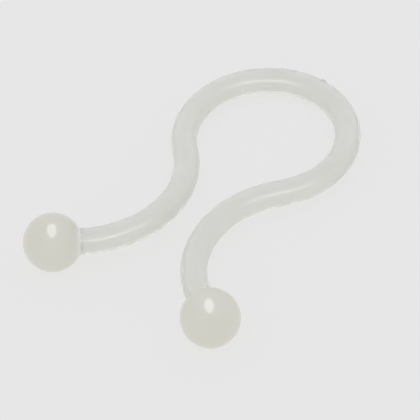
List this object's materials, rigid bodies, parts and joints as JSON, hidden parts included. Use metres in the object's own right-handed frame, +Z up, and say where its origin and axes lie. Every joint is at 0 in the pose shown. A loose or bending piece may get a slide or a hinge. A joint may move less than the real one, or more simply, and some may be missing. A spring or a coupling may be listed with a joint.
{
  "type": "cheek retractor",
  "caption": "Springy, looped plastic bow with a narrow waist and a smooth ball on each end, squeezed to fit the mouth and let go to hold the cheeks and lips apart.",
  "frame": {"origin": "on the table under the middle of the whole part, with the part lying on its two balls and on the underside of its crown", "axes": "+Y from the balls towards the crown, +Z up from the table, +X across from the left ball to the right ball"},
  "size_m": [0.0758, 0.1098, 0.018],
  "materials": {
    "bow_plastic": "natural, milky translucent polypropylene with a satin gloss",
    "ball_plastic": "the same natural plastic in a thick section, denser and warmer, with a smooth gloss"
  },
  "bodies": {
    "crown": {"crown": "bow_plastic"},
    "left_shoulder": {"left_shoulder": "bow_plastic"},
    "left_waist": {"left_waist": "bow_plastic"},
    "left_arm": {"left_arm": "bow_plastic", "left_ball": "ball_plastic"},
    "right_shoulder": {"right_shoulder": "bow_plastic"},
    "right_waist": {"right_waist": "bow_plastic"},
    "right_arm": {"right_arm": "bow_plastic", "right_ball": "ball_plastic"}
  },
  "joints": [
    {"name": "left_bow_flex", "type": "hinge", "parent": "crown", "child": "left_shoulder", "pos_m": [-0.01188, 0.04795, 0.00415], "axis": [0, 0.0516, 0.9987], "range_deg": [-3.6, 2.1], "stiffness_Nm_per_rad": 21},
    {"name": "left_waist_flex", "type": "hinge", "parent": "left_shoulder", "child": "left_waist", "pos_m": [-0.02511, 0.02872, 0.00515], "axis": [0, 0.0516, 0.9987], "range_deg": [-2.8, 1.65]},
    {"name": "left_arm_flex", "type": "hinge", "parent": "left_waist", "child": "left_arm", "pos_m": [-0.01083, -0.00281, 0.00677], "axis": [0, 0.0516, 0.9987], "range_deg": [-3.4, 2]},
    {"name": "right_bow_flex", "type": "hinge", "parent": "crown", "child": "right_shoulder", "pos_m": [0.01188, 0.04795, 0.00415], "axis": [0, -0.0516, -0.9987], "range_deg": [-3.6, 2.1], "stiffness_Nm_per_rad": 21},
    {"name": "right_waist_flex", "type": "hinge", "parent": "right_shoulder", "child": "right_waist", "pos_m": [0.02511, 0.02872, 0.00515], "axis": [0, -0.0516, -0.9987], "range_deg": [-2.8, 1.65]},
    {"name": "right_arm_flex", "type": "hinge", "parent": "right_waist", "child": "right_arm", "pos_m": [0.01083, -0.00281, 0.00677], "axis": [0, -0.0516, -0.9987], "range_deg": [-3.4, 2]}
  ],
  "couplings": [
    {"joint": "left_waist_flex", "follows": "left_bow_flex", "ratio": 0.77},
    {"joint": "left_arm_flex", "follows": "left_bow_flex", "ratio": 0.93},
    {"joint": "right_waist_flex", "follows": "right_bow_flex", "ratio": 0.77},
    {"joint": "right_arm_flex", "follows": "right_bow_flex", "ratio": 0.93}
  ]
}
